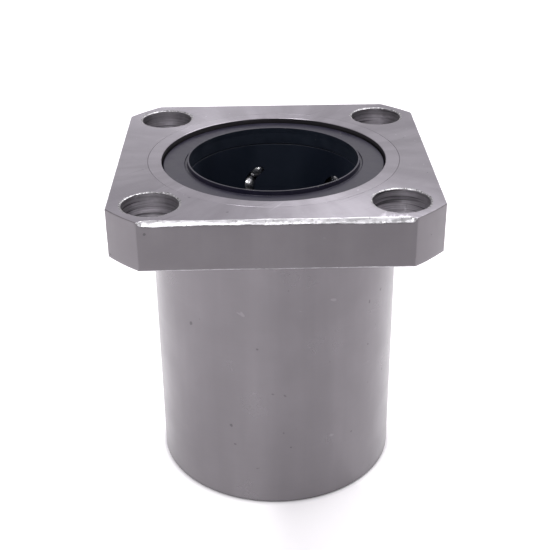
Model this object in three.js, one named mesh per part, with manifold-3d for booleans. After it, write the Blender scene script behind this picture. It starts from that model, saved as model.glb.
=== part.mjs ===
// A square-flanged linear ball bushing for a 35 mm shaft. Millimetres, +Z up.
// The origin is the centre of the plain end, and the flange is at the top end.
//
// A hardened sleeve has six raceway lands in its bore. A moulded retainer inside the sleeve guides six
// loops of balls. In each loop the balls of the load row stand between a land and the shaft. They climb
// round the top turn, go back down the return row, clear of the shaft, and come round the bottom turn.
// A snap ring at each end holds the retainer, and a rubber seal closes each end. The square flange is a
// separate plate, pressed on the sleeve flush with its top end.

import * as THREE from "three";
import { mergeVertices } from "three/addons/utils/BufferGeometryUtils.js";
import Module from "manifold-3d";

const wasm = await Module();
wasm.setup();

// Standard outside dimensions of the 35 mm size.
const SHAFT_R = 17.5;
const SLEEVE_R = 26;
const LENGTH = 70;
const FLANGE_SIDE = 64;
const FLANGE_CORNER_R = 41;
const FLANGE_THICKNESS = 10;
const BOLT_CIRCLE_R = 33.5;
const BOLT_HOLE_R = 3.3;
const COUNTERBORE_R = 5.5;
const COUNTERBORE_DEPTH = 6.1;

// Balls and the loops that they run in.
const BALL_R = 3.969 / 2;
const LOOPS = 6;
const LOOP_PHASE = THREE.MathUtils.degToRad(47.5);
const ROW_BALLS = 10;
const TURN_BALLS = 3;
const TURN_R = 3.98;
const FIRST_BALL_ANGLE = THREE.MathUtils.degToRad(5);
const BALL_STEP_ANGLE = Math.PI / TURN_BALLS;
const BALL_PITCH = TURN_R * BALL_STEP_ANGLE;
const TRACK_PLANE = SHAFT_R + BALL_R;
const RETURN_Y = -2 * TURN_R;
const TURN_TOP_Z = (LENGTH + ROW_BALLS * BALL_PITCH) / 2;
const TURN_BOTTOM_Z = LENGTH - TURN_TOP_Z;
const CHANNEL_R = 2.2;
const CORE_R = 0.4;

// Sleeve bore, and the parts that stack inside it.
const BORE_R = 23.2;
const RACEWAY_R = TRACK_PLANE + BALL_R + 0.03;
const LAND = [-7.5, 28].map(THREE.MathUtils.degToRad);
const PRESS_GAP = 0.1;
const RETAINER_R = 22.9;
const RETAINER_BORE_R = 17.8;
const RETAINER_RELIEF_R = 21.3;
const RELIEF = [-9, 29.5].map(THREE.MathUtils.degToRad);
const RETAINER_END = 4.2;
const RING_GROOVE_R = 24.1;
const RING_GROOVE = [2.9, 4.1];
const RING = { inside: 21.7, outside: 23.95, from: 3.0, to: 4.0, gapAngle: THREE.MathUtils.degToRad(24) };
const SEAL_R = 23.0;

const SEGMENTS = 48;
const SEAL_SEGMENTS = 32;
const HOLE_SEGMENTS = 20;
const TURN_SEGMENTS = 16;

const material = (color, roughness, metalness) =>
  new THREE.MeshStandardMaterial({ color, roughness, metalness });
const MATERIALS = {
  flange: material(0x9a979c, 0.42, 1),
  sleeve: material(0x8c888d, 0.34, 1),
  resin: material(0x0b0e13, 0.5, 0),
  rubber: material(0x1d1d20, 0.62, 0),
  spring: material(0x77777a, 0.4, 1),
  ball: material(0xe4e4e8, 0.08, 1),
};

// A closed three.js geometry as a manifold-3d solid, and back.
function solid(geometry) {
  const bare = new THREE.BufferGeometry();
  bare.setAttribute("position", geometry.getAttribute("position"));
  bare.setIndex(geometry.index);
  const merged = mergeVertices(bare, 1e-4);
  return new wasm.Manifold(
    new wasm.Mesh({
      numProp: 3,
      vertProperties: merged.getAttribute("position").array,
      triVerts: new Uint32Array(merged.index.array),
    }),
  );
}

function geometryOf(manifold) {
  const mesh = manifold.getMesh();
  const geometry = new THREE.BufferGeometry();
  geometry.setAttribute("position", new THREE.BufferAttribute(mesh.vertProperties, 3));
  geometry.setIndex(new THREE.BufferAttribute(mesh.triVerts, 1));
  geometry.computeVertexNormals();
  return geometry;
}

// Revolves a list of [radius, z] points about +Z. A profile off the axis closes on itself.
function turned(profile, segments = SEGMENTS) {
  const points = profile.map(([r, z]) => new THREE.Vector2(r, z));
  if (profile[0][0] > 0) points.push(points[0].clone());
  return new THREE.LatheGeometry(points, segments, LOOP_PHASE).rotateX(Math.PI / 2);
}

// Extrudes a list of [x, y] points from one height to another.
function prism(points, from, to) {
  const shape = new THREE.Shape(points.map(([x, y]) => new THREE.Vector2(x, y)));
  const geometry = new THREE.ExtrudeGeometry(shape, { depth: to - from, bevelEnabled: false });
  return geometry.translate(0, 0, from);
}

const polar = (radius, angle) => [radius * Math.cos(angle), radius * Math.sin(angle)];

// The points of a ring sector from one angle to another, whose arcs step in line with the turned parts.
function sector(inside, outside, from, to) {
  const step = (2 * Math.PI) / SEGMENTS;
  const angles = [from];
  for (let k = Math.floor(from / step) + 1; k * step < to - 1e-6; k += 1) {
    if (k * step > from + 1e-6) angles.push(k * step);
  }
  angles.push(to);
  const back = [...angles].reverse();
  return [...angles.map((a) => polar(outside, a)), ...back.map((a) => polar(inside, a))];
}

const loopAngle = (i) => LOOP_PHASE + (i * 2 * Math.PI) / LOOPS;

// Repeats a geometry, made for a loop on the +X axis, at all the loops.
function atEveryLoop(make) {
  return Array.from({ length: LOOPS }, (_, i) => solid(make().rotateZ(loopAngle(i))));
}

function squareFlange() {
  const half = FLANGE_SIDE / 2;
  const corner = Math.acos(half / FLANGE_CORNER_R);
  const bevel = 0.6;
  const bottom = LENGTH - FLANGE_THICKNESS;
  const outline = new THREE.Shape();
  for (let i = 0; i < 4; i += 1) {
    const side = (i * Math.PI) / 2;
    outline.absarc(0, 0, FLANGE_CORNER_R, side + corner, side + Math.PI / 2 - corner, false);
  }
  outline.closePath();
  const plate = new THREE.ExtrudeGeometry(outline, {
    depth: FLANGE_THICKNESS - 2 * bevel,
    curveSegments: 3,
    bevelSize: bevel,
    bevelOffset: -bevel,
    bevelThickness: bevel,
    bevelSegments: 1,
  }).translate(0, 0, bottom + bevel);
  const below = bottom - 1;
  const above = LENGTH + 1;
  const mouth = 0.3;
  const boltHole = [
    [0, below],
    [BOLT_HOLE_R, below],
    [BOLT_HOLE_R, LENGTH - COUNTERBORE_DEPTH],
    [COUNTERBORE_R, LENGTH - COUNTERBORE_DEPTH],
    [COUNTERBORE_R, LENGTH - mouth],
    [COUNTERBORE_R + mouth + 1, above],
    [0, above],
  ];
  const seat = SLEEVE_R + PRESS_GAP;
  let flange = solid(plate).subtract(
    solid(turned([[0, below], [seat, below], [seat, above], [0, above]])),
  );
  for (let i = 0; i < 4; i += 1) {
    const [x, y] = polar(BOLT_CIRCLE_R, Math.PI / 4 + (i * Math.PI) / 2);
    flange = flange.subtract(solid(turned(boltHole, HOLE_SEGMENTS).translate(x, y, 0)));
  }
  return geometryOf(flange);
}

function outerSleeve() {
  const chamfer = 0.6;
  const seam = 0.15;
  const mouth = 0.35;
  const [grooveFrom, grooveTo] = RING_GROOVE;
  const tube = solid(
    turned([
      [SLEEVE_R - chamfer, 0],
      [SLEEVE_R, chamfer],
      [SLEEVE_R, LENGTH - seam],
      [SLEEVE_R - seam, LENGTH],
      [BORE_R + mouth, LENGTH],
      [BORE_R, LENGTH - mouth],
      [BORE_R, LENGTH - grooveFrom],
      [RING_GROOVE_R, LENGTH - grooveFrom],
      [RING_GROOVE_R, LENGTH - grooveTo],
      [BORE_R, LENGTH - grooveTo],
      [BORE_R, grooveTo],
      [RING_GROOVE_R, grooveTo],
      [RING_GROOVE_R, grooveFrom],
      [BORE_R, grooveFrom],
      [BORE_R, mouth],
      [BORE_R + mouth, 0],
    ]),
  );
  const root = 0.2;
  const land = () => prism(sector(RACEWAY_R, BORE_R + root, ...LAND), TURN_BOTTOM_Z, TURN_TOP_Z);
  return geometryOf(atEveryLoop(land).reduce((sleeve, bar) => sleeve.add(bar), tube));
}

// The cross-section of a ball channel, as [along the track plane's normal, sideways] points.
function channelSection() {
  const steps = 4;
  const outside = BORE_R + 1 - TRACK_PLANE;
  const round = Array.from({ length: steps + 1 }, (_, k) => {
    const angle = Math.PI / 2 + (k * Math.PI) / steps;
    return [CHANNEL_R * Math.cos(angle), CHANNEL_R * Math.sin(angle)];
  });
  return [[outside, CHANNEL_R], ...round, [outside, -CHANNEL_R]];
}

function straightChannel(y) {
  const overlap = 0.01;
  const section = channelSection().map(([n, side]) => [TRACK_PLANE + n, y + side]);
  return prism(section, TURN_BOTTOM_Z - overlap, TURN_TOP_Z + overlap);
}

// Half of a round channel: above its centre at the top turn and below it at the bottom turn.
function turnChannel(centreZ, up) {
  const reach = TURN_R + CHANNEL_R + 1;
  const points = channelSection().map(([n, side]) => new THREE.Vector2(TURN_R + side, n));
  points.push(points[0].clone());
  const ring = new THREE.LatheGeometry(points.reverse(), TURN_SEGMENTS)
    .rotateZ(-Math.PI / 2)
    .translate(TRACK_PLANE, -TURN_R, centreZ);
  const half = new THREE.BoxGeometry(4 * reach, 2 * reach, reach).translate(
    TRACK_PLANE,
    -TURN_R,
    centreZ + (up * reach) / 2,
  );
  return geometryOf(solid(ring).intersect(solid(half)));
}

function ballRetainer() {
  const edge = 0.3;
  const top = LENGTH - RETAINER_END;
  const past = 1;
  const tube = solid(
    turned([
      [RETAINER_BORE_R, RETAINER_END],
      [RETAINER_R - edge, RETAINER_END],
      [RETAINER_R, RETAINER_END + edge],
      [RETAINER_R, top - edge],
      [RETAINER_R - edge, top],
      [RETAINER_BORE_R, top],
    ]),
  );
  const relief = () =>
    prism(sector(RETAINER_RELIEF_R, BORE_R + past, ...RELIEF), RETAINER_END - past, top + past);
  const cutters = [
    relief,
    () => straightChannel(0),
    () => straightChannel(RETURN_Y),
    () => turnChannel(TURN_TOP_Z, 1),
    () => turnChannel(TURN_BOTTOM_Z, -1),
  ];
  const cuts = cutters.flatMap(atEveryLoop);
  return geometryOf(cuts.reduce((retainer, cut) => retainer.subtract(cut), tube));
}

// A split ring for the groove at the plain end.
function snapRing() {
  const half = Math.PI - RING.gapAngle / 2;
  return prism(sector(RING.inside, RING.outside, -half, half), RING.from, RING.to);
}

// The seal at the plain end: an outer band, a moat and a raised wiping lip, whose neck meets the retainer.
function seal() {
  return turned(
    [
      [18.1, 0.55],
      [18.3, 1.3],
      [19.1, 1.3],
      [19.3, 1.0],
      [SEAL_R - 0.3, 1.0],
      [SEAL_R, 1.3],
      [SEAL_R, 2.8],
      [19.4, 2.8],
      [19.4, 4.0],
      [17.9, 4.0],
      [17.45, 1.6],
      [17.85, 0.5],
    ],
    SEAL_SEGMENTS,
  );
}

const flipped = (geometry) => geometry.rotateX(Math.PI).translate(0, 0, LENGTH);

// A straight row of balls, strung on a thin core so that the row is one solid. Its first ball is at the origin.
function ballRow() {
  const side = BALL_R * Math.SQRT1_2;
  const profile = [new THREE.Vector2(0, -BALL_R)];
  for (let k = 0; k < ROW_BALLS; k += 1) {
    const z = k * BALL_PITCH;
    if (k > 0) profile.push(new THREE.Vector2(CORE_R, z - BALL_PITCH / 2));
    profile.push(new THREE.Vector2(side, z - side));
    profile.push(new THREE.Vector2(BALL_R, z));
    profile.push(new THREE.Vector2(side, z + side));
  }
  profile.push(new THREE.Vector2(0, (ROW_BALLS - 1) * BALL_PITCH + BALL_R));
  const sides = 6;
  return new THREE.LatheGeometry(profile, sides).rotateX(Math.PI / 2);
}

function ball() {
  const around = 8;
  const upwards = 4;
  return new THREE.SphereGeometry(BALL_R, around, upwards);
}

function named(name, geometry, finish) {
  const mesh = new THREE.Mesh(geometry, finish);
  mesh.name = name;
  return mesh;
}

// One loop, made on the +X axis. The top turn runs from the load row, at y = 0, over to the return row,
// and the bottom turn runs back. Angles along a turn count from where its balls come in.
function ballLoop(number) {
  const loop = new THREE.Group();
  const lag = (FIRST_BALL_ANGLE / BALL_STEP_ANGLE) * BALL_PITCH;
  const loadRow = named(`load_row_${number}`, ballRow(), MATERIALS.ball);
  loadRow.position.set(TRACK_PLANE, 0, TURN_BOTTOM_Z + lag);
  const returnRow = named(`return_row_${number}`, ballRow(), MATERIALS.ball);
  returnRow.position.set(TRACK_PLANE, RETURN_Y, TURN_BOTTOM_Z + BALL_PITCH - lag);
  loop.add(loadRow, returnRow);
  for (let k = 0; k < TURN_BALLS; k += 1) {
    const angle = FIRST_BALL_ANGLE + k * BALL_STEP_ANGLE;
    const side = TURN_R * Math.cos(angle);
    const rise = TURN_R * Math.sin(angle);
    const letter = "abc"[k];
    const top = named(`top_turn_ball_${number}${letter}`, ball(), MATERIALS.ball);
    top.position.set(TRACK_PLANE, -TURN_R + side, TURN_TOP_Z + rise);
    const bottom = named(`bottom_turn_ball_${number}${letter}`, ball(), MATERIALS.ball);
    bottom.position.set(TRACK_PLANE, -TURN_R - side, TURN_BOTTOM_Z - rise);
    loop.add(top, bottom);
  }
  return loop;
}

const bushing = new THREE.Group();
bushing.add(
  named("square_flange", squareFlange(), MATERIALS.flange),
  named("outer_sleeve", outerSleeve(), MATERIALS.sleeve),
  named("ball_retainer", ballRetainer(), MATERIALS.resin),
  named("bottom_snap_ring", snapRing(), MATERIALS.spring),
  named("top_snap_ring", flipped(snapRing()), MATERIALS.spring),
  named("bottom_seal", seal(), MATERIALS.rubber),
  named("top_seal", flipped(seal()), MATERIALS.rubber),
);
for (let i = 0; i < LOOPS; i += 1) {
  const loop = ballLoop(i + 1);
  loop.rotation.z = loopAngle(i);
  bushing.add(loop);
}

export default bushing;
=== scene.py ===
"""The looks of a square-flanged linear ball bushing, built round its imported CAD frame.

Lengths are in metres, in the CAD's frame: the shaft runs along Z and the flange is at the top.
"""

import math

import bmesh
import bpy
from mathutils import Matrix, Quaternion, Vector, noise


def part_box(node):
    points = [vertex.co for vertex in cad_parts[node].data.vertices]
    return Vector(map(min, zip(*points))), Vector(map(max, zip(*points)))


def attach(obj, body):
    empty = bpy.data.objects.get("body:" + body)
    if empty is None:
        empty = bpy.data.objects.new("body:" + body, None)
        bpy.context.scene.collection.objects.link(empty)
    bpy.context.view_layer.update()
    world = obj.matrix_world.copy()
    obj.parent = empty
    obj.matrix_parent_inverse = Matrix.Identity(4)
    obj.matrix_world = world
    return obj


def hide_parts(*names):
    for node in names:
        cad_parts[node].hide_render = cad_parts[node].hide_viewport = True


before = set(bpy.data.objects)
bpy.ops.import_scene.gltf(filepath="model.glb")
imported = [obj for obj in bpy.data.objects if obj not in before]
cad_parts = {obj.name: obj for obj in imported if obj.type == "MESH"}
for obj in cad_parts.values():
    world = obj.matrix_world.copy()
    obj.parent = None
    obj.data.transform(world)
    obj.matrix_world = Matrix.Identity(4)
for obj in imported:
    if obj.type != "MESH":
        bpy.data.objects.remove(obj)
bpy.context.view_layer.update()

MM = 0.001
TAU = 2 * math.pi

# Points closer than this are one point, and edges sharper than this, in degrees, stay sharp.
TOUCH = 1e-7
SHARP_ANGLE = 28

# What the CAD gives.
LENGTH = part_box("outer_sleeve")[1].z
SLEEVE_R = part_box("outer_sleeve")[1].x
FLANGE_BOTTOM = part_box("square_flange")[0].z
FLANGE_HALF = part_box("square_flange")[1].x
RETAINER_BOTTOM, RETAINER_TOP = (corner.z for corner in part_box("ball_retainer"))

# The flange.
CORNER_R = 41 * MM
BOLT_CIRCLE_R = 33.5 * MM
COUNTERBORE_R = 5.5 * MM
COUNTERBORE_FLOOR = LENGTH - 6.1 * MM
SCREW_HOLE_R = 3.3 * MM
SEAM = 0.05 * MM

# The sleeve, and what stacks inside it.
BORE_R = 23.2 * MM
LAND_R = 21.5 * MM
LAND_ANGLES = (-7.5, 28)
RETAINER_R = 22.9 * MM
RETAINER_BORE_R = 17.8 * MM
RELIEF_R = 21.3 * MM
RELIEF_ANGLES = (-9, 29.5)
RING_GROOVE_R = 24.1 * MM
RING_GROOVE = (2.9 * MM, 4.1 * MM)
SEAL_R = 23.0 * MM

# The ball loops.
BALL_R = 3.969 / 2 * MM
SHAFT_R = 17.5 * MM
LOOPS = 6
ROW_BALLS = 10
TURN_BALLS = 3
TURN_R = 3.98 * MM
FIRST_BALL_ANGLE = math.radians(5)
BALL_STEP_ANGLE = math.pi / TURN_BALLS
PITCH = TURN_R * BALL_STEP_ANGLE
TRACK_PLANE = SHAFT_R + BALL_R
TURN_TOP = (LENGTH + ROW_BALLS * PITCH) / 2
TURN_BOTTOM = LENGTH - TURN_TOP
LOOP_PHASE = math.radians(47.5)
CHANNEL_R = 2.05 * MM

# The view.
AIM = Vector((0.06, 0, 42)) * MM
DISTANCE = 235.6 * MM
AZIMUTH = math.radians(-0.92)
ELEVATION = math.radians(27.8)
ROLL = math.radians(-0.56)
LENS = 70.2

# The floor. It glows a little, so that it stays pale from every side. The glow changes with the
# bearing from the object, in degrees, nought being in front and the right positive, and with the
# distance from it. A pair says where a change begins and where it ends.
FLOOR_HALF = 20.0
FLOOR_DROP = 0.02 * MM
SECTOR_GLOW, BACK_GLOW = 0.02, 0.50
LEFT_FRONT_GLOW, LEFT_EDGE, LEFT_BACK = 0.32, (8, -15), (-50, -110)
RIGHT_FRONT_GLOW, RIGHT_EDGE, RIGHT_BACK = 0.16, (38, 48), (60, 120)
NEAR_GLOW, NEAR_FLOOR = 0.20, (0.13, 0.02)
FAR_FLOOR_GLOW, FAR_FLOOR = 0.75, (0.40, 0.95)
CONTACT_SHADOW = (SLEEVE_R - 0.6 * MM, SLEEVE_R + 1.2 * MM)

# The surround. Its front is dark, which gives the ground steel its contrast, and its horizon pale.
# Its pairs are a view direction's Y and Z.
FRONT_GLOW, SURROUND_GLOW, FRONT_EDGE = 0.04, 0.80, (-0.85, -0.25)
HORIZON_GLOW, HORIZON = 1.0, (0.02, 0.10)

# The fine grain that the steels share: noise cells to the metre, and depths.
PORES = 2600.0
PORE_DEPTH = 0.005 * MM
SCRATCH_DEPTH = 0.01 * MM
HAIRLINE = 0.004 * MM


# ---------------------------------------------------------------- mesh helpers


def polar(radius, angle, z=0.0):
    """A point at a radius from Z, at an angle round it, and at a height."""
    return Vector((radius * math.cos(angle), radius * math.sin(angle), z))


def rounded(corners, steps):
    """A closed outline's points. Each corner is (x, y, fillet radius)."""
    points = []
    for i, (x, y, fillet) in enumerate(corners):
        here = Vector((x, y))
        if not fillet:
            points.append(here)
            continue
        back = (Vector(corners[i - 1][:2]) - here).normalized()
        on = (Vector(corners[(i + 1) % len(corners)][:2]) - here).normalized()
        half = back.angle(on) / 2
        reach = fillet / math.tan(half)
        centre = here + (back + on).normalized() * (fillet / math.sin(half))
        start, end = here + back * reach - centre, here + on * reach - centre
        for k in range(steps + 1):
            mixed = start.lerp(end, k / steps)
            points.append(centre + mixed.normalized() * fillet)
    return points


def add_loop(bm, points):
    """New vertices at the points, in order."""
    return [bm.verts.new(p) for p in points]


def bridge(bm, low, high, material=0):
    """A band of faces between two loops of as many points. They face out if the loops turn
    anticlockwise and high is above low."""
    faces = []
    for i in range(len(low)):
        j = (i + 1) % len(low)
        faces.append(bm.faces.new((low[i], low[j], high[j], high[i])))
        faces[-1].material_index = material
    return faces


def fill(bm, loops, up):
    """A flat face between an outer loop and the loops inside it, facing up or down."""
    edges = []
    for loop in loops:
        for i in range(len(loop)):
            ends = (loop[i], loop[(i + 1) % len(loop)])
            edges.append(bm.edges.get(ends) or bm.edges.new(ends))
    made = bmesh.ops.triangle_fill(bm, edges=edges, use_beauty=True, use_dissolve=False)
    for face in made["geom"]:
        if isinstance(face, bmesh.types.BMFace):
            face.normal_update()
            if (face.normal.z > 0) != up:
                face.normal_flip()


def piece(name, bm, materials, stands_for, body="shell", sharp=SHARP_ANGLE):
    """Makes an object of the mesh, shades it, and lets it ride on its CAD body. It takes the
    place of the CAD nodes that it stands for, and wears the materials that it is given."""
    mesh = bpy.data.meshes.new(name)
    bm.to_mesh(mesh)
    bm.free()
    for material in materials:
        mesh.materials.append(material)
    made = bpy.data.objects.new(name, mesh)
    bpy.context.scene.collection.objects.link(made)
    finish_shading(made, sharp)
    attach(made, body)
    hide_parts(*stands_for)
    return made


def finish_shading(obj, sharp):
    """Smooth shading, but for edges sharper than an angle in degrees."""
    mesh = obj.data
    mesh.polygons.foreach_set("use_smooth", [True] * len(mesh.polygons))
    mesh.set_sharp_from_angle(angle=math.radians(sharp))
    weigh = obj.modifiers.new("weighted_normals", "WEIGHTED_NORMAL")
    weigh.keep_sharp = True


def turned(bm, profile, segments, radius_at=None, material_of=None):
    """Revolves a closed (r, z) outline about Z. It runs anticlockwise in the r, z plane.
    radius_at(point index, angle) may stand in for a point's own radius."""
    angles = [LOOP_PHASE + TAU * k / segments for k in range(segments)]
    rings = []
    for i, (r, z) in enumerate(profile):
        points = [polar(radius_at(i, a) if radius_at else r, a, z) for a in angles]
        rings.append(add_loop(bm, points))
    for i, ring in enumerate(rings):
        following = rings[(i + 1) % len(rings)]
        bridge(bm, ring, following, material_of(i) if material_of else 0)


# ---------------------------------------------------------------- materials


def new_material(name, roughness, metallic):
    """A plain material. Its roughness holds where no texture is linked to that socket."""
    material = bpy.data.materials.new(name)
    material.use_nodes = True
    shader = material.node_tree.nodes["Principled BSDF"]
    shader.inputs["Roughness"].default_value = roughness
    shader.inputs["Metallic"].default_value = metallic
    return material


class Nodes:
    """Short ways to add the nodes that the materials here share."""

    def __init__(self, material):
        self.tree = material.node_tree
        self.shader = self.tree.nodes["Principled BSDF"]
        self.place = self.add("ShaderNodeTexCoord").outputs["Object"]

    def add(self, kind, inputs=(), **settings):
        """A node of a kind. Each input is another node's output or a value of its own."""
        node = self.tree.nodes.new(kind)
        for key, value in settings.items():
            setattr(node, key, value)
        for key, value in dict(inputs).items():
            if isinstance(value, bpy.types.NodeSocket):
                self.tree.links.new(value, node.inputs[key])
            else:
                node.inputs[key].default_value = value
        return node

    def stretched(self, scale, turn=(0, 0, 0)):
        """Object coordinates turned and then scaled, for grain that runs one way."""
        across = self.add("ShaderNodeMapping", {"Vector": self.place, "Rotation": turn}).outputs[0]
        return self.add("ShaderNodeMapping", {"Vector": across, "Scale": scale}).outputs[0]

    def noise(self, vector, scale, detail, roughness):
        """Noise, from nought to one."""
        settings = {"Vector": vector, "Scale": scale, "Detail": detail, "Roughness": roughness}
        return self.add("ShaderNodeTexNoise", settings).outputs["Fac"]

    def band(self, value, low, high, to_low=0.0, to_high=1.0):
        """value from low to high, as to_low to to_high, and held there beyond."""
        ends = {"From Min": low, "From Max": high, "To Min": to_low, "To Max": to_high}
        return self.add(
            "ShaderNodeMapRange", {"Value": value, **ends}, interpolation_type="SMOOTHSTEP"
        ).outputs[0]

    def maths(self, operation, a, b):
        """A sum, product or the like of two numbers."""
        return self.add("ShaderNodeMath", {0: a, 1: b}, operation=operation).outputs[0]

    def mix(self, factor, a, b):
        """A colour from a to b. These are the numbers of the node's colour sockets."""
        return self.add("ShaderNodeMix", {0: factor, 6: a, 7: b}, data_type="RGBA").outputs[2]

    def scaled(self, scale):
        """Object coordinates, scaled along each axis."""
        return self.add("ShaderNodeMapping", {"Vector": self.place, "Scale": scale}).outputs[0]

    def radius(self):
        """How far a point is from the shaft's axis."""
        flat = self.scaled((1, 1, 0))
        return self.add("ShaderNodeVectorMath", {0: flat}, operation="LENGTH").outputs["Value"]

    def outward(self, round_scale, radial_scale):
        """Coordinates in which noise runs in streaks outward from the shaft's axis."""
        flat = self.scaled((1, 1, 0))
        unit = self.add("ShaderNodeVectorMath", {0: flat}, operation="NORMALIZE").outputs[0]
        return self.add(
            "ShaderNodeVectorMath",
            {0: unit, 1: (round_scale,) * 3, 2: self.scaled((radial_scale,) * 3)},
            operation="MULTIPLY_ADD",
        ).outputs[0]

    def rings(self, per_metre):
        """Noise that changes only with the distance from the shaft's axis."""
        return self.add(
            "ShaderNodeTexNoise",
            {"W": self.radius(), "Scale": per_metre, "Detail": 3.0, "Roughness": 0.7},
            noise_dimensions="1D",
        ).outputs["Fac"]

    def lathe_grain(self, amount):
        """Stretches highlights across the tool marks that run round the shaft's axis."""
        quarter_turn = 0.25
        self.shader.inputs["Anisotropic"].default_value = amount
        self.shader.inputs["Anisotropic Rotation"].default_value = quarter_turn
        tangent = self.add("ShaderNodeTangent", direction_type="RADIAL", axis="Z")
        self.tree.links.new(tangent.outputs[0], self.shader.inputs["Tangent"])

    def bump(self, height, distance, strength, under=None):
        """A normal roughened by a height, on top of the normal under it."""
        inputs = {"Height": height, "Distance": distance, "Strength": strength}
        if under is not None:
            inputs["Normal"] = under
        return self.add("ShaderNodeBump", inputs).outputs[0]

    def connect(self, colour, roughness, normal=None):
        """Links what a material has worked out to its shader."""
        found = {"Base Color": colour, "Roughness": roughness, "Normal": normal}
        for key, value in found.items():
            if value is not None:
                self.tree.links.new(value, self.shader.inputs[key])


def grey(value):
    """A neutral grey."""
    return (value, value, value, 1)


def cool(value):
    """The bluish white of a freshly cut edge."""
    return (value * 0.985, value * 0.97, value * 1.01, 1)


def shaded(value):
    """The colder grey down in the bored holes."""
    return (value * 0.98, value * 0.95, value, 1)


def lavender(value, blue=1.0):
    """The cool, faintly purple grey of the ground steel."""
    return (value, value * 0.945, value * blue, 1)


def bluish(value):
    """The turned faces' slightly bluer grey."""
    return lavender(value, 1.05)


def faced_steel(name, base):
    """An end face turned on a lathe: rings too fine to see singly, streaks, wiped marks, nicks."""
    material = new_material(name, 0.36, 1.0)
    n = Nodes(material)
    n.lathe_grain(0.75)
    rings = n.rings(5200.0)
    streaks = n.noise(n.outward(5.0, 40.0), 1.0, 3.0, 0.55)
    clouds = n.noise(n.place, 110.0, 4.0, 0.6)
    pores = n.noise(n.place, PORES, 2.0, 0.6)
    scratch_place = n.stretched((800, 50, 50), (0, 0, 0.6))
    scratches = n.band(n.noise(scratch_place, 1.0, 2.0, 0.5), 0.70, 0.76)
    wiped_place = n.stretched((1500, 45, 45), (0, 0, 0.9))
    wiped_area = n.band(n.noise(n.place, 70.0, 1.0, 0.4), 0.48, 0.60)
    wiped = n.maths("MULTIPLY", n.band(n.noise(wiped_place, 1.0, 2.0, 0.5), 0.60, 0.68), wiped_area)
    specks = n.band(n.noise(n.place, 700.0, 1.0, 0.3), 0.77, 0.81)
    nicks = n.band(n.noise(n.place, 1100.0, 1.0, 0.3), 0.78, 0.82)
    tone = n.mix(n.band(streaks, 0.35, 0.65), bluish(base * 0.90), bluish(base * 1.10))
    tone = n.mix(n.band(clouds, 0.35, 0.7, 0.0, 0.5), tone, bluish(base * 0.90))
    tone = n.mix(n.band(rings, 0.3, 0.7, 0.0, 0.25), tone, bluish(base * 1.15))
    tone = n.mix(n.maths("MULTIPLY", scratches, 0.45), tone, bluish(base * 1.5))
    tone = n.mix(n.maths("MULTIPLY", wiped, 0.35), tone, bluish(base * 0.6))
    tone = n.mix(n.maths("MULTIPLY", specks, 0.6), tone, bluish(base * 0.45))
    tone = n.mix(n.maths("MULTIPLY", nicks, 0.6), tone, bluish(base * 1.9))
    rough = n.band(clouds, 0.3, 0.7, 0.32, 0.42)
    normal = n.bump(rings, HAIRLINE, 0.5)
    normal = n.bump(pores, PORE_DEPTH, 0.5, normal)
    normal = n.bump(scratches, SCRATCH_DEPTH, 0.6, normal)
    n.connect(tone, rough, normal)
    return material


def ground_steel(name, base, roughness, lathe=0.0):
    """A ground wall: a satin sheen, soft upright bands of painted reflection, and a few nicks and
    specks.
    """
    material = new_material(name, roughness, 1.0)
    n = Nodes(material)
    if lathe:
        n.lathe_grain(lathe)
    lines = n.noise(n.stretched((60, 60, 3600)), 1.0, 4.0, 0.7)
    # Lighter and darker streaks along the axis: a painted reflection of streaky surroundings.
    upright = n.noise(n.stretched((150, 150, 12)), 1.0, 3.0, 0.55)
    clouds = n.noise(n.place, 90.0, 4.0, 0.6)
    pores = n.noise(n.place, PORES, 2.0, 0.6)
    scratch_place = n.stretched((500, 90, 260), (0.4, 0.9, 0.7))
    scratches = n.band(n.noise(scratch_place, 1.0, 2.0, 0.5), 0.74, 0.79)
    specks = n.band(n.noise(n.place, 600.0, 1.0, 0.3), 0.79, 0.82)
    tone = n.mix(n.band(upright, 0.3, 0.7), lavender(base * 0.95), lavender(base * 1.05))
    tone = n.mix(n.band(lines, 0.3, 0.7, 0.0, 0.25), tone, lavender(base * 1.06))
    tone = n.mix(n.band(clouds, 0.35, 0.7, 0.0, 0.4), tone, lavender(base * 0.93))
    tone = n.mix(n.maths("MULTIPLY", scratches, 0.4), tone, lavender(base * 1.5))
    tone = n.mix(n.maths("MULTIPLY", specks, 0.6), tone, lavender(base * 0.4))
    rough = n.band(clouds, 0.3, 0.7, roughness - 0.03, roughness + 0.04)
    normal = n.bump(lines, HAIRLINE, 0.4)
    normal = n.bump(pores, PORE_DEPTH, 0.5, normal)
    normal = n.bump(scratches, SCRATCH_DEPTH, 0.6, normal)
    n.connect(tone, rough, normal)
    return material


def filed_steel(name, base):
    """Edges broken with a file: bright, in flat ragged facets with fine strokes along them."""
    material = new_material(name, 0.30, 1.0)
    n = Nodes(material)
    strokes = n.noise(n.stretched((300, 300, 4200)), 1.0, 4.0, 0.65)
    patches = n.noise(n.stretched((420, 420, 1200)), 1.0, 4.0, 0.65)
    dull = n.band(n.noise(n.place, 1500.0, 2.0, 0.5), 0.60, 0.68)
    tone = n.mix(n.band(patches, 0.40, 0.60), cool(base * 0.70), cool(base))
    tone = n.mix(n.band(strokes, 0.40, 0.65, 0.0, 0.6), tone, cool(base * 0.62))
    tone = n.mix(n.maths("MULTIPLY", dull, 0.6), tone, cool(base * 0.3))
    rough = n.band(patches, 0.3, 0.7, 0.28, 0.44)
    normal = n.bump(strokes, 0.012 * MM, 0.6)
    normal = n.bump(patches, 0.03 * MM, 0.6, normal)
    n.connect(tone, rough, normal)
    return material


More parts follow.
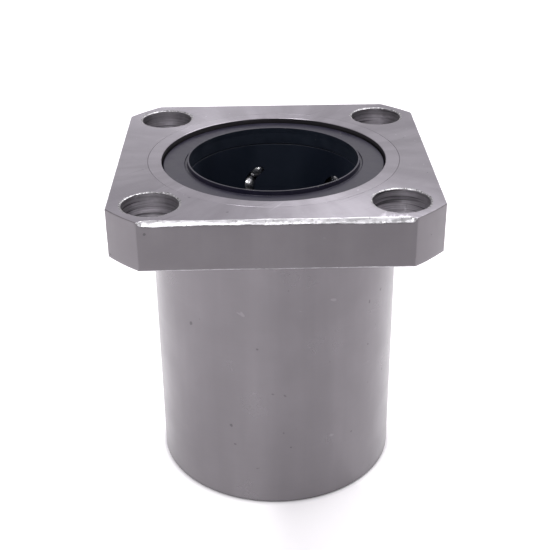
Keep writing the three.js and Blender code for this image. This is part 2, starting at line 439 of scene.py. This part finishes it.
def burred_steel(name, base):
    """A hole's rim, where the cutter left a torn burr: dull, with bright and dark flecks."""
    material = new_material(name, 0.36, 1.0)
    n = Nodes(material)
    torn = n.noise(n.place, 2300.0, 3.0, 0.6)
    smooth = n.noise(n.place, 420.0, 2.0, 0.5)
    tone = n.mix(n.band(smooth, 0.4, 0.6), cool(base * 0.75), cool(base))
    tone = n.mix(n.band(torn, 0.57, 0.62), tone, cool(base * 1.9))
    tone = n.mix(n.band(torn, 0.43, 0.38), tone, cool(base * 0.25))
    rough = n.band(torn, 0.35, 0.65, 0.48, 0.30)
    normal = n.bump(torn, 0.05 * MM, 0.9)
    n.connect(tone, rough, normal)
    return material


def bored_steel(name, base):
    """A drilled and counterbored hole: rings of tool marks down its wall."""
    material = new_material(name, 0.38, 1.0)
    n = Nodes(material)
    rings = n.noise(n.stretched((60, 60, 2600)), 1.0, 3.0, 0.7)
    scores = n.band(n.noise(n.stretched((40, 40, 1500)), 1.0, 1.0, 0.4), 0.60, 0.66)
    smears = n.noise(n.place, 260.0, 3.0, 0.6)
    tone = n.mix(n.band(rings, 0.3, 0.7), shaded(base * 0.62), shaded(base * 1.15))
    tone = n.mix(n.maths("MULTIPLY", scores, 0.8), tone, shaded(base * 0.18))
    tone = n.mix(n.band(smears, 0.4, 0.7, 0.0, 0.5), tone, shaded(base * 0.6))
    rough = n.band(smears, 0.3, 0.7, 0.3, 0.46)
    normal = n.bump(rings, 0.05 * MM, 0.8)
    n.connect(tone, rough, normal)
    return material


def rubber(name, low, high, roughness):
    """The seals' moulded nitrile: dull blue-black, faintly mottled, with a little dust."""
    material = new_material(name, roughness, 0.0)
    n = Nodes(material)
    mottle = n.noise(n.place, 320.0, 4.0, 0.6)
    grain = n.noise(n.place, 3200.0, 2.0, 0.6)
    dust = n.band(n.noise(n.place, 1300.0, 1.0, 0.4), 0.75, 0.80, 0.0, 0.4)
    tone = n.mix(n.band(mottle, 0.3, 0.7), low, high)
    tone = n.mix(dust, tone, grey(0.12))
    rough = n.band(mottle, 0.3, 0.7, roughness - 0.05, roughness + 0.05)
    normal = n.bump(grain, 0.012 * MM, 0.6)
    n.connect(tone, rough, normal)
    return material


def resin():
    """The retainer's dark moulding resin."""
    material = new_material("retainer_resin", 0.45, 0.0)
    n = Nodes(material)
    flow = n.noise(n.stretched((120, 120, 30)), 1.0, 3.0, 0.5)
    grain = n.noise(n.place, 2200.0, 2.0, 0.5)
    tone = n.mix(
        n.band(flow, 0.3, 0.7), (0.0056, 0.0090, 0.0185, 1), (0.0082, 0.0130, 0.0258, 1)
    )
    rough = n.band(flow, 0.3, 0.7, 0.40, 0.52)
    normal = n.bump(grain, 0.008 * MM, 0.5)
    n.connect(tone, rough, normal)
    return material


def spring_steel():
    """The snap rings: dull rolled wire with a faint bluish oxide."""
    material = new_material("spring_steel", 0.42, 1.0)
    n = Nodes(material)
    bloom = n.noise(n.place, 240.0, 3.0, 0.6)
    fine = n.noise(n.place, 2400.0, 2.0, 0.5)
    tone = n.mix(n.band(bloom, 0.3, 0.7), (0.20, 0.21, 0.23, 1), (0.34, 0.33, 0.33, 1))
    rough = n.band(bloom, 0.3, 0.7, 0.34, 0.5)
    n.connect(tone, rough, n.bump(fine, 0.008 * MM, 0.5))
    return material


def ball_steel():
    """Polished bearing balls with the faintest film of grease."""
    material = new_material("ball_steel", 0.08, 1.0)
    n = Nodes(material)
    film = n.noise(n.place, 700.0, 2.0, 0.5)
    tone = n.mix(n.band(film, 0.35, 0.7), (0.88, 0.88, 0.90, 1), (0.74, 0.74, 0.76, 1))
    n.connect(tone, n.band(film, 0.35, 0.7, 0.27, 0.33))
    return material


# ---------------------------------------------------------------- the flange

# The flange's materials, numbered in the order that flange_plate lists them in.
ON_FACE, ON_SIDE, ON_EDGE, IN_HOLE, ON_CORNER, ON_RIM = range(6)


def flange_outline(z, inset_at):
    """The flange's outline, anticlockwise, cut back by inset_at(angle) all round. The corner
    between a flat and a turned corner is broken over a short, uneven length."""
    flat_steps, arc_steps, corner_steps = 150, 20, 4
    points = []

    def broken(side, share):
        """How far the nearer upright edge is broken back at this height."""
        mean, unevenness = 0.24 * MM, 0.9
        at = Vector((3.7 * side + 1.9 * round(share), 0, z / MM * 1.3))
        return mean * (1 + unevenness * noise.noise(at))

    def on_outline(side, along_flat, share, inset):
        """A point on a side's flat, or on the turned corner that follows it."""
        half = FLANGE_HALF - inset
        radius = CORNER_R - inset
        turn = math.acos(half / radius)
        if along_flat:
            reach = half * math.tan(turn)
            low, high = broken(side, 0) - reach, reach - broken(side, 1)
            point = Vector((half, low + (high - low) * share, z))
        else:
            low = turn + broken(side, 1) / radius
            high = math.pi / 2 - turn - broken((side + 1) % 4, 0) / radius
            point = polar(radius, low + (high - low) * share, z)
        return Matrix.Rotation(side * math.pi / 2, 3, "Z") @ point

    def vertex(side, at_start, inset):
        """Where a flat and a turned corner would meet if the edge between them were sharp."""
        half = FLANGE_HALF - inset
        turn = math.acos(half / (CORNER_R - inset))
        angle = turn if at_start else math.pi / 2 - turn
        point = polar(CORNER_R - inset, angle, z)
        return Matrix.Rotation(side * math.pi / 2, 3, "Z") @ point

    def corner(a, b, c):
        """A curve from a to c that b pulls outwards."""
        for k in range(1, corner_steps):
            t = k / corner_steps
            points.append(a.lerp(b, t).lerp(b.lerp(c, t), t))

    for side in range(4):
        middle = side * math.pi / 2
        swing = math.acos(FLANGE_HALF / CORNER_R)
        for k in range(flat_steps + 1):
            share = k / flat_steps
            where = middle + swing * (2 * share - 1)
            points.append(on_outline(side, True, share, inset_at(where)))
        at_end = middle + swing
        inset = inset_at(at_end)
        corner(points[-1], vertex(side, True, inset), on_outline(side, False, 0, inset))
        for k in range(arc_steps + 1):
            share = k / arc_steps
            where = at_end + (math.pi / 2 - 2 * swing) * share
            points.append(on_outline(side, False, share, inset_at(where)))
        at_end = middle + math.pi / 2 - swing
        inset = inset_at(at_end)
        corner(
            points[-1],
            vertex(side, False, inset),
            on_outline((side + 1) % 4, True, 0, inset),
        )
    return points


def filed_width(angle, seed, front, elsewhere):
    """A hand-filed chamfer's width at an angle round the flange: front along the front edge,
    elsewhere round the rest."""
    narrowest, run_out = 0.1 * MM, math.radians(0.8)
    place = polar(FLANGE_HALF / MM, angle, seed)
    slow = noise.noise(place * 0.12)
    quick = noise.noise(place * 0.6 + Vector((7, 3, 1)))
    ragged = noise.noise(place * 2.2 + Vector((2, 5, 8)))
    off_front = abs(math.remainder(angle + math.pi / 2, TAU))
    swing = math.acos(FLANGE_HALF / CORNER_R)
    share = min(1.0, max(0.0, (swing - off_front) / run_out))
    mean = elsewhere + (front - elsewhere) * share * share * (3 - 2 * share)
    return max(narrowest, mean * (1 + 0.30 * slow + 0.14 * quick + 0.15 * ragged))


def flange_wall(bm):
    """The flange's outer wall and its two chamfers. Gives its lowest and its highest ring. An
    edge here is a chamfer's seed, and its width along the front edge and elsewhere."""
    top_edge = (4, 0.86 * MM, 0.14 * MM)
    bottom_edge = (11, 0.26 * MM, 0.20 * MM)
    softening, dip, lead = 0.22, 0.1, 0.04
    side_rings = 9
    low, high = FLANGE_BOTTOM + 0.9 * MM, LENGTH - 1.4 * MM
    past_flat = math.sqrt(CORNER_R**2 - FLANGE_HALF**2) - 0.05 * MM

    def ring(z, cut, edge_at, share):
        """cut is how far in, as a share of the chamfer, and share how far up or down its side."""
        points = flange_outline(z, lambda angle: cut * filed_width(angle, *edge_at))
        to_middle = -1 if z > (FLANGE_BOTTOM + LENGTH) / 2 else 1
        for p in points:
            p.z = z + to_middle * share * filed_width(math.atan2(p.y, p.x), *edge_at)
        return add_loop(bm, points)

    outline = [
        ring(FLANGE_BOTTOM, 1.0, bottom_edge, 0),
        ring(FLANGE_BOTTOM, 1 - softening, bottom_edge, dip),
        ring(FLANGE_BOTTOM, dip, bottom_edge, 1 - softening),
        ring(FLANGE_BOTTOM, 0.0, bottom_edge, 1),
    ]
    chamfer_bands = len(outline) - 1
    for k in range(side_rings):
        z = low + (high - low) * k / (side_rings - 1)
        outline.append(add_loop(bm, flange_outline(z, lambda angle: 0.0)))
    outline += [
        ring(LENGTH, 0.0, top_edge, 1),
        ring(LENGTH, lead, top_edge, 1 - softening / 2),
        ring(LENGTH, 1 - softening, top_edge, dip),
        ring(LENGTH, 1.0, top_edge, 0),
    ]
    for i in range(len(outline) - 1):
        upright = chamfer_bands <= i < len(outline) - 1 - chamfer_bands
        for wall in bridge(bm, outline[i], outline[i + 1], ON_SIDE if upright else ON_EDGE):
            middle = wall.calc_center_median()
            if min(abs(middle.x), abs(middle.y)) > past_flat:
                wall.material_index = ON_CORNER
    return outline[0], outline[-1]


def screw_hole(bm, number):
    """A counterbored hole: a torn rim, tool marks down the wall, and the screw's hole in the
    floor. Gives its lowest and its highest ring."""
    steps, tool_marks, mark_depth = 72, 22, 0.05 * MM
    burr_width, burr_ragged = 0.42 * MM, 0.34 * MM
    lip_width, lip_depth, lip_ragged = 0.12 * MM, 0.09 * MM, 0.16 * MM
    rim, break_hole, floor_fillet = 0.18 * MM, 0.25 * MM, 0.2 * MM
    first_mark, last_mark = LENGTH - 2 * rim, COUNTERBORE_FLOOR + 0.3 * MM
    centre = polar(BOLT_CIRCLE_R, math.pi / 4 + number * math.pi / 2)

    def ring(radius, z, ragged=0.0):
        """A ring round the hole, whose radius varies where it is ragged."""
        points = []
        for k in range(steps):
            a = TAU * k / steps
            swell = noise.noise(polar(3, a, 5 * number + 1)) * ragged
            points.append(centre + polar(radius + swell, a, z))
        return add_loop(bm, points)

    walls = [
        ring(COUNTERBORE_R + burr_width, LENGTH, burr_ragged),
        ring(COUNTERBORE_R + lip_width, LENGTH - lip_depth, lip_ragged),
        ring(COUNTERBORE_R, LENGTH - rim),
    ]
    rim_bands = len(walls) - 1
    for k in range(tool_marks):
        depth = mark_depth * noise.noise(Vector((2.3 * k, 7 * number, 0)))
        z = first_mark + (last_mark - first_mark) * k / (tool_marks - 1)
        walls.append(ring(COUNTERBORE_R + abs(depth), z))
    walls += [
        ring(COUNTERBORE_R - floor_fillet, COUNTERBORE_FLOOR),
        ring(SCREW_HOLE_R + break_hole, COUNTERBORE_FLOOR),
        ring(SCREW_HOLE_R, COUNTERBORE_FLOOR - break_hole),
        ring(SCREW_HOLE_R, FLANGE_BOTTOM + rim),
        ring(SCREW_HOLE_R + rim, FLANGE_BOTTOM),
    ]
    for i in range(len(walls) - 1):
        bridge(bm, walls[i], walls[i + 1], ON_RIM if i < rim_bands else IN_HOLE)
    return walls[-1], walls[0]


def flange_seat(bm):
    """The bore that the sleeve is pressed into. Gives its lowest and its highest ring."""
    steps, seat_r = 192, SLEEVE_R + SEAM
    break_edge, chamfer = 0.03 * MM, 0.25 * MM
    outline = (
        (seat_r + break_edge, LENGTH),
        (seat_r, LENGTH - break_edge),
        (seat_r, FLANGE_BOTTOM + chamfer),
        (seat_r + chamfer, FLANGE_BOTTOM),
    )
    seat = []
    for r, z in outline:
        seat.append(add_loop(bm, [polar(r, TAU * k / steps, z) for k in range(steps)]))
    for i in range(len(seat) - 1):
        bridge(bm, seat[i], seat[i + 1], ON_FACE)
    return seat[-1], seat[0]


def flange_plate(face, side, edge, hole, corner, rim_burr):
    """The flange: its outer wall, its four holes and its seat, and two flat faces between them."""
    bm = bmesh.new()
    ends = [flange_wall(bm)]
    for number in range(4):
        ends.append(screw_hole(bm, number))
    ends.append(flange_seat(bm))
    fill(bm, [top for bottom, top in ends], True)
    fill(bm, [bottom for bottom, top in ends], False)
    materials = [face, side, edge, hole, corner, rim_burr]
    piece("flange_plate", bm, materials, ["square_flange"])


# ---------------------------------------------------------------- the sleeve and its stack


def in_sector(angle, sector):
    """Whether an angle lies in the sector that repeats at every loop."""
    repeat, slack = 360 / LOOPS, 1e-6
    local = math.degrees(angle - LOOP_PHASE) % repeat
    return (local - sector[0]) % repeat <= sector[1] - sector[0] + slack


def sleeve_body(ground, inside, faced):
    """The sleeve. Its materials are numbered in the order of the arguments."""
    chamfer, mouth, mouth_round = 0.40 * MM, 0.14 * MM, 0.03 * MM
    on_wall, in_bore, on_end = range(3)
    g0, g1 = RING_GROOVE
    corners = [
        (SLEEVE_R - chamfer, 0, 0.12 * MM),
        (SLEEVE_R, chamfer, 0.15 * MM),
        (SLEEVE_R, LENGTH - SEAM, 0),
        (SLEEVE_R - SEAM, LENGTH, 0),
        (BORE_R + mouth, LENGTH, mouth_round),
        (BORE_R, LENGTH - mouth, mouth_round),
        (BORE_R, LENGTH - g0, 0),
        (RING_GROOVE_R, LENGTH - g0, 0),
        (RING_GROOVE_R, LENGTH - g1, 0),
        (BORE_R, LENGTH - g1, 0),
        (BORE_R, TURN_TOP, 0),
        (LAND_R, TURN_TOP, 0),
        (LAND_R, TURN_BOTTOM, 0),
        (BORE_R, TURN_BOTTOM, 0),
        (BORE_R, g1, 0),
        (RING_GROOVE_R, g1, 0),
        (RING_GROOVE_R, g0, 0),
        (BORE_R, g0, 0),
        (BORE_R, mouth, mouth_round),
        (BORE_R + mouth, 0, mouth_round),
    ]
    profile = rounded(corners, 3)

    def radius_at(i, angle):
        r = profile[i][0]
        is_land = abs(r - LAND_R) < TOUCH
        return BORE_R if is_land and not in_sector(angle, LAND_ANGLES) else r

    def material_of(i):
        (r0, z0), (r1, z1) = profile[i], profile[(i + 1) % len(profile)]
        outer = min(r0, r1) > SLEEVE_R - TOUCH
        at_end = abs(z0 - z1) < TOUCH and (z0 < TOUCH or z0 > LENGTH - TOUCH)
        if outer:
            return on_wall
        is_mouth = max(min(z0, LENGTH - z0), min(z1, LENGTH - z1)) <= mouth * 1.1
        return on_end if at_end or is_mouth else in_bore

    bm = bmesh.new()
    turned(bm, profile, 240, radius_at, material_of)
    bmesh.ops.remove_doubles(bm, verts=bm.verts, dist=TOUCH)
    piece("sleeve_body", bm, [ground, inside, faced], ["outer_sleeve"])


def loop_angle(number):
    """Where a loop's load row stands round the shaft. Loops are numbered from 1."""
    return LOOP_PHASE + TAU * (number - 1) / LOOPS


def loop_place(angle, across, beside, z):
    """A point beside a ball loop: across from the shaft, beside the load row, and up."""
    return Matrix.Rotation(angle, 3, "Z") @ Vector((across, beside, z))


def add_channel(bm, angle):
    """Adds what a ball loop takes out of the retainer: a racetrack of the channel's section."""
    turn_steps, round_steps = 32, 14
    outwards = BORE_R + 1 * MM - TRACK_PLANE
    section = [(outwards, CHANNEL_R)]
    for k in range(round_steps + 1):
        a = math.pi / 2 + math.pi * k / round_steps
        section.append((CHANNEL_R * math.cos(a), CHANNEL_R * math.sin(a)))
    section.append((outwards, -CHANNEL_R))
    rings = []
    for z, start in ((TURN_TOP, 0.0), (TURN_BOTTOM, math.pi)):
        for k in range(turn_steps + 1):
            a = start + math.pi * k / turn_steps
            points = []
            for across, side in section:
                beside = -TURN_R + (TURN_R + side) * math.cos(a)
                up = z + (TURN_R + side) * math.sin(a)
                points.append(loop_place(angle, TRACK_PLANE + across, beside, up))
            rings.append(add_loop(bm, points))
    for i, ring in enumerate(rings):
        bridge(bm, ring, rings[(i + 1) % len(rings)])


def ball_cage(material):
    """The retainer: a sleeve, relieved where the lands come through, with a channel cut for
    each ball loop."""
    edge, mouth_round = 0.3 * MM, 0.08 * MM
    corners = [
        (RETAINER_R - edge, RETAINER_BOTTOM, 0),
        (RETAINER_R, RETAINER_BOTTOM + edge, 0),
        (RETAINER_R, RETAINER_TOP - edge, 0),
        (RETAINER_R - edge, RETAINER_TOP, 0),
        (RETAINER_BORE_R, RETAINER_TOP, mouth_round),
        (RETAINER_BORE_R, RETAINER_BOTTOM, mouth_round),
    ]
    profile = rounded(corners, 4)

    def radius_at(i, angle):
        r = profile[i][0]
        return min(r, RELIEF_R) if in_sector(angle, RELIEF_ANGLES) else r

    bm = bmesh.new()
    turned(bm, profile, 240, radius_at)
    bmesh.ops.recalc_face_normals(bm, faces=bm.faces)
    cage = piece("ball_cage", bm, [material], ["ball_retainer"])
    cutting = bmesh.new()
    for number in range(1, LOOPS + 1):
        add_channel(cutting, loop_angle(number))
    bmesh.ops.recalc_face_normals(cutting, faces=cutting.faces)
    cutter_mesh = bpy.data.meshes.new("cutter")
    cutting.to_mesh(cutter_mesh)
    cutting.free()
    cutter = bpy.data.objects.new("cutter", cutter_mesh)
    bpy.context.scene.collection.objects.link(cutter)
    cage.modifiers.clear()
    cut = cage.modifiers.new("channels", "BOOLEAN")
    cut.object = cutter
    cut.solver = "EXACT"
    graph = bpy.context.evaluated_depsgraph_get()
    cage.data = bpy.data.meshes.new_from_object(cage.evaluated_get(graph))
    cage.modifiers.clear()
    bpy.data.objects.remove(cutter)
    finish_shading(cage, SHARP_ANGLE)


def flip_to_top(bm):
    """Turns a piece made for the plain end over, for the flanged end."""
    over = Matrix.Translation((0, 0, LENGTH)) @ Matrix.Rotation(math.pi, 4, "X")
    bmesh.ops.transform(bm, matrix=over, verts=bm.verts)


def end_seal(name, node, outside, inside, at_top):
    """A rubber seal: a flat band, a narrow moat, and the thin wiping lip. Heights are from the
    sleeve's end."""
    lip_in, lip_out, lip_z = 17.52 * MM, 17.88 * MM, 0.30 * MM
    moat_in, moat_out, moat_z = 17.96 * MM, 18.40 * MM, 1.30 * MM
    band_in, band_out, band_z = 18.50 * MM, SEAL_R - 0.25 * MM, 1.05 * MM
    back_z, foot_out, foot_in, foot_z = 2.80 * MM, 19.40 * MM, 17.80 * MM, 4.00 * MM
    throat, throat_z = 17.72 * MM, 1.60 * MM
    soft = 0.10 * MM
    corners = [
        (lip_in, lip_z, 0.05 * MM),
        (lip_out, 0.28 * MM, 0.08 * MM),
        (moat_in, moat_z, soft),
        (moat_out, moat_z, soft),
        (band_in, band_z, 0.08 * MM),
        (band_out, band_z, soft),
        (SEAL_R, moat_z, soft),
        (SEAL_R, back_z, soft),
        (foot_out, back_z, 0.20 * MM),
        (foot_out, foot_z, soft),
        (foot_in, foot_z, 0.05 * MM),
        (throat, throat_z, 0.30 * MM),
    ]
    profile = rounded(corners, 4)
    middle = len(profile) // 2

    def material_of(i):
        """The bore's side of the profile, from the seal's foot up to the lip, is oily."""
        r0, r1 = profile[i][0], profile[(i + 1) % len(profile)][0]
        return 1 if i > middle and max(r0, r1) < moat_out else 0

    bm = bmesh.new()
    turned(bm, profile, 192, material_of=material_of)
    if at_top:
        flip_to_top(bm)
    bmesh.ops.recalc_face_normals(bm, faces=bm.faces)
    piece(name, bm, [outside, inside], [node])


def snap_ring(name, node, material, at_top):
    """A split ring of rounded rectangular wire, sprung into its groove."""
    inner, outer = 21.7 * MM, 23.95 * MM
    low, high = 3.0 * MM, 4.0 * MM
    gap = math.radians(24)
    soft = 0.16 * MM
    corners = [(outer, low, soft), (outer, high, soft), (inner, high, soft), (inner, low, soft)]
    section = rounded(corners, 3)
    steps = 150
    bm = bmesh.new()
    rings = []
    for k in range(steps + 1):
        a = gap / 2 + (TAU - gap) * k / steps
        rings.append(add_loop(bm, [polar(r, a, z) for r, z in section]))
    for i in range(steps):
        bridge(bm, rings[i], rings[i + 1])
    bm.faces.new(rings[0])
    bm.faces.new(rings[-1])
    if at_top:
        flip_to_top(bm)
    bmesh.ops.recalc_face_normals(bm, faces=bm.faces)
    piece(name, bm, [material], [node])


# ---------------------------------------------------------------- the balls


def balls(name, centres, body, nodes, material):
    """True balls at their centres, as one piece on one body."""
    bm = bmesh.new()
    for centre in centres:
        bmesh.ops.create_uvsphere(
            bm,
            u_segments=28,
            v_segments=18,
            radius=BALL_R,
            matrix=Matrix.Translation(centre),
        )
    piece(name, bm, [material], nodes, body, sharp=60)


def ball_loop(number, material):
    """One loop's balls at rest: the load row, the top turn, the return row, the bottom turn."""
    angle = loop_angle(number)
    lag = FIRST_BALL_ANGLE * TURN_R
    load, back = [], []
    for k in range(ROW_BALLS):
        load.append(loop_place(angle, TRACK_PLANE, 0, TURN_BOTTOM + lag + k * PITCH))
        up = TURN_BOTTOM + PITCH - lag + k * PITCH
        back.append(loop_place(angle, TRACK_PLANE, -2 * TURN_R, up))
    for kind, centres in (("load", load), ("return", back)):
        row = f"{kind}_row_{number}"
        balls(f"{kind}_balls_{number}", centres, row, [row], material)
    for end, z, sense in (("top", TURN_TOP, 1), ("bottom", TURN_BOTTOM, -1)):
        centres = []
        for k in range(TURN_BALLS):
            a = FIRST_BALL_ANGLE + k * BALL_STEP_ANGLE
            beside = -TURN_R + sense * TURN_R * math.cos(a)
            up = z + sense * TURN_R * math.sin(a)
            centres.append(loop_place(angle, TRACK_PLANE, beside, up))
        nodes = [f"{end}_turn_ball_{number}{letter}" for letter in "abc"]
        balls(f"{end}_turn_balls_{number}", centres, f"{end}_turn_{number}", nodes, material)


# ---------------------------------------------------------------- the stage


def floor_glow(n):
    """How much the floor near the object glows: least in a sector in front and to the right,
    which the ground steel mirrors as a darker band."""
    across = n.add("ShaderNodeSeparateXYZ", {0: n.place})
    ahead = n.maths("MULTIPLY", across.outputs["Y"], -1.0)
    bearing = n.maths("ARCTAN2", across.outputs["X"], ahead)
    glow = SECTOR_GLOW
    for (start, end), more in (
        (LEFT_EDGE, LEFT_FRONT_GLOW - SECTOR_GLOW),
        (LEFT_BACK, BACK_GLOW - LEFT_FRONT_GLOW),
        (RIGHT_EDGE, RIGHT_FRONT_GLOW - SECTOR_GLOW),
        (RIGHT_BACK, BACK_GLOW - RIGHT_FRONT_GLOW),
    ):
        one = n.band(bearing, math.radians(start), math.radians(end), 0.0, more)
        glow = n.maths("ADD", glow, one)
    return n.maths("ADD", glow, n.band(n.radius(), *NEAR_FLOOR, 0.0, NEAR_GLOW))


def floor():
    """A plain pale floor just under the object. It glows, more so far away, but not under it."""
    bm = bmesh.new()
    bmesh.ops.create_grid(bm, x_segments=1, y_segments=1, size=FLOOR_HALF)
    mesh = bpy.data.meshes.new("floor")
    bm.to_mesh(mesh)
    bm.free()
    made = bpy.data.objects.new("floor", mesh)
    made.location.z = -FLOOR_DROP
    bpy.context.scene.collection.objects.link(made)
    material = new_material("floor", 0.9, 0.0)
    n = Nodes(material)
    n.shader.inputs["Base Color"].default_value = (0.80, 0.785, 0.81, 1)
    n.shader.inputs["Emission Color"].default_value = (1.0, 0.985, 1.0, 1)
    glow = n.maths("MULTIPLY", floor_glow(n), n.band(n.radius(), *CONTACT_SHADOW))
    glow = n.maths("MAXIMUM", glow, n.band(n.radius(), *FAR_FLOOR, 0.0, FAR_FLOOR_GLOW))
    n.tree.links.new(glow, n.shader.inputs["Emission Strength"])
    mesh.materials.append(material)


def area_light(name, place, aim, size, power):
    """A rectangular light at a place, turned to face its aim."""
    data = bpy.data.lights.new(name, "AREA")
    data.shape = "RECTANGLE"
    data.size, data.size_y = size
    data.energy = power
    made = bpy.data.objects.new(name, data)
    made.location = place
    made.rotation_mode = "QUATERNION"
    made.rotation_quaternion = (Vector(aim) - Vector(place)).to_track_quat("-Z", "Y")
    bpy.context.scene.collection.objects.link(made)


def studio_world():
    """A pale surround, dark in front but for its horizon."""
    world = bpy.data.worlds.new("studio")
    world.use_nodes = True
    tree = world.node_tree
    place = tree.nodes.new("ShaderNodeTexCoord")
    axes = tree.nodes.new("ShaderNodeSeparateXYZ")
    brightest = tree.nodes.new("ShaderNodeMath")
    brightest.operation = "MAXIMUM"
    tree.links.new(place.outputs["Generated"], axes.inputs[0])
    for i, (axis, edge, glows) in enumerate(
        (("Y", FRONT_EDGE, (FRONT_GLOW, SURROUND_GLOW)), ("Z", HORIZON, (HORIZON_GLOW, 0.0)))
    ):
        fade = tree.nodes.new("ShaderNodeMapRange")
        fade.interpolation_type = "SMOOTHSTEP"
        for key, value in zip(("From Min", "From Max", "To Min", "To Max"), edge + glows):
            fade.inputs[key].default_value = value
        tree.links.new(axes.outputs[axis], fade.inputs["Value"])
        tree.links.new(fade.outputs[0], brightest.inputs[i])
    background = tree.nodes["Background"]
    background.inputs["Color"].default_value = (1.0, 0.975, 1.0, 1)
    tree.links.new(brightest.outputs[0], background.inputs["Strength"])
    bpy.context.scene.world = world


def lighting():
    """Four soft lights, and the surround. Sizes are in metres and powers in watts."""
    studio_world()
    middle = (0, 0, 0.05)
    area_light("overhead", (0.30, 0.38, 0.88), middle, (0.55, 0.55), 4.7)
    area_light("front", (-0.30, -0.46, 0.80), middle, (0.22, 0.17), 2.4)
    area_light("low_front", (-0.05, -0.66, 0.62), middle, (0.12, 0.12), 1.1)
    area_light("into_bore", (0.42, -0.66, 0.42), middle, (0.10, 0.10), 0.5)


def camera():
    """The viewpoint that the measured outline, corners and holes gave."""
    back = Vector(
        (
            math.sin(AZIMUTH) * math.cos(ELEVATION),
            -math.cos(AZIMUTH) * math.cos(ELEVATION),
            math.sin(ELEVATION),
        )
    )
    data = bpy.data.cameras.new("camera")
    data.lens = LENS
    data.clip_start, data.clip_end = 5 * MM, FLOOR_HALF
    made = bpy.data.objects.new("camera", data)
    made.location = AIM + back * DISTANCE
    made.rotation_mode = "QUATERNION"
    roll = Quaternion((0, 0, 1), ROLL)
    made.rotation_quaternion = (-back).to_track_quat("-Z", "Y") @ roll
    bpy.context.scene.collection.objects.link(made)
    bpy.context.scene.camera = made


def main():
    """Builds the piece of every part, then the stage and the camera."""
    face = faced_steel("flange_face", 0.34)
    end = faced_steel("sleeve_face", 0.36)
    side = ground_steel("flange_side", 0.174, 0.42)
    corner = ground_steel("flange_corner", 0.205, 0.36, lathe=0.4)
    body = ground_steel("sleeve_ground", 0.204, 0.30, lathe=0.5)
    # The bore wall is a darker copy of the ground steel: painted shade for the shadowed wall, and
    # some oil.
    inside = ground_steel("sleeve_inside_oil_and_painted_shade", 0.10, 0.42)
    edge = filed_steel("filed_edge", 0.71)
    hole = bored_steel("bored_hole", 0.56)
    burr = burred_steel("hole_rim", 0.37)
    seal_face = rubber("seal_rubber", (0.009, 0.008, 0.020, 1), (0.014, 0.012, 0.027, 1), 0.33)
    seal_bore = rubber("oiled_rubber", (0.008, 0.012, 0.021, 1), (0.011, 0.016, 0.028, 1), 0.45)
    cage_resin = resin()
    wire, ball = spring_steel(), ball_steel()

    flange_plate(face, side, edge, hole, corner, burr)
    sleeve_body(body, inside, end)
    ball_cage(cage_resin)
    end_seal("seal_at_flange", "top_seal", seal_face, seal_bore, True)
    end_seal("seal_at_plain_end", "bottom_seal", seal_face, seal_bore, False)
    snap_ring("snap_ring_at_flange", "top_snap_ring", wire, True)
    snap_ring("snap_ring_at_plain_end", "bottom_snap_ring", wire, False)
    for number in range(1, LOOPS + 1):
        ball_loop(number, ball)
    floor()
    lighting()
    camera()
    bpy.context.scene.view_settings.view_transform = "Standard"


main()
